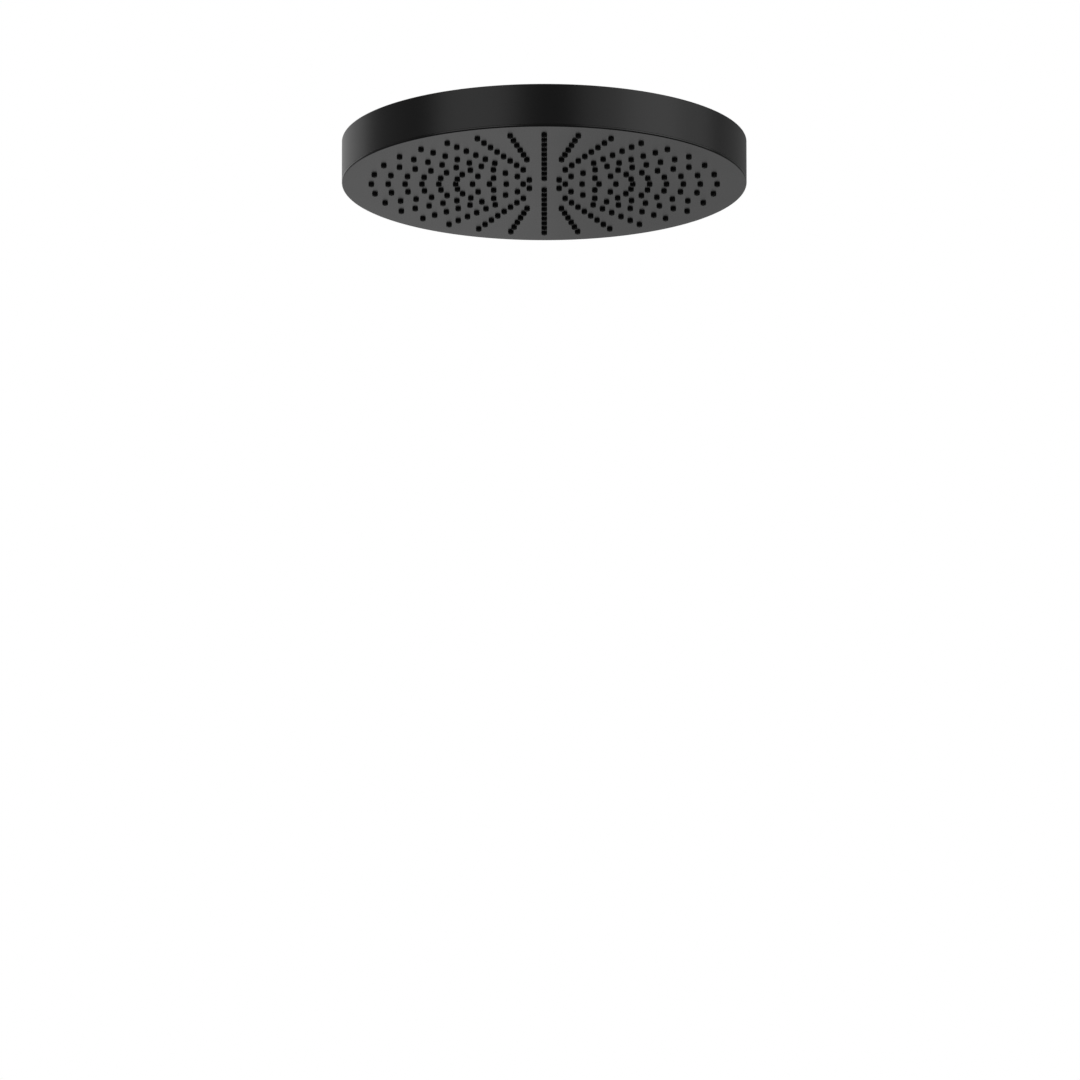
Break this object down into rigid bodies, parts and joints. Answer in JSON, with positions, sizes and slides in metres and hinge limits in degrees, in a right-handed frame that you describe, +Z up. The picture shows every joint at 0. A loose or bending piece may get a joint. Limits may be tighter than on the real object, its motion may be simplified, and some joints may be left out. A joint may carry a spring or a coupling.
{
  "type": "overhead rain shower head",
  "caption": "Thick round drum-shaped overhead rain shower head with rubber spray nozzles in rays, hung from a tilting and swivelling ball joint with a female pipe thread.",
  "frame": {"origin": "centre of the inlet thread's mouth, on the top face of the ball connector", "axes": "+Z up along the inlet thread and out of its mouth; +X and +Y are level, along rays of the nozzle pattern"},
  "size_m": [0.3, 0.3, 0.0726],
  "materials": {
    "matt_black": "matt black powder coat",
    "satin_black": "satin black coat on a flat plate",
    "black_silicone": "matt black silicone",
    "seal_rubber": "black seal rubber",
    "brass": "turned brass",
    "stainless_steel": "stainless steel",
    "chamber_plastic": "moulded dark grey engineering plastic",
    "seat_plastic": "turned white low-friction plastic"
  },
  "bodies": {
    "inlet": {"ball_connector": "matt_black", "inlet_gasket": "seal_rubber", "inlet_filter": "stainless_steel", "flow_regulator": "seat_plastic", "regulator_o_ring": "seal_rubber"},
    "lower_seat": {"lower_ball_seat": "seat_plastic"},
    "upper_seat": {"upper_ball_seat": "seat_plastic"},
    "head": {"socket_body": "brass", "socket_o_ring": "seal_rubber", "cap_nut": "matt_black", "lock_washer": "stainless_steel", "lock_ring": "matt_black", "casing": "matt_black", "rim_gasket": "seal_rubber", "chamber_cover": "chamber_plastic", "chamber_o_ring": "seal_rubber", "diffuser_spacers": "stainless_steel", "diffuser_plate": "stainless_steel", "diffuser_screws": "stainless_steel", "jet_plate": "chamber_plastic", "tie_screws": "stainless_steel", "nozzle_mat": "black_silicone", "face_plate": "satin_black", "face_studs": "stainless_steel", "stud_washers": "stainless_steel", "stud_nuts": "stainless_steel"}
  },
  "joints": [
    {"name": "head_swivel", "type": "hinge", "parent": "inlet", "child": "lower_seat", "pos_m": [0, 0, -0.033], "axis": [0, 0, 1], "continuous": true},
    {"name": "head_tilt_front", "type": "hinge", "parent": "lower_seat", "child": "upper_seat", "pos_m": [0, 0, -0.033], "axis": [1, 0, 0], "range_deg": [-10, 10]},
    {"name": "head_tilt_side", "type": "hinge", "parent": "upper_seat", "child": "head", "pos_m": [0, 0, -0.033], "axis": [0, 1, 0], "range_deg": [-10, 10]}
  ]
}
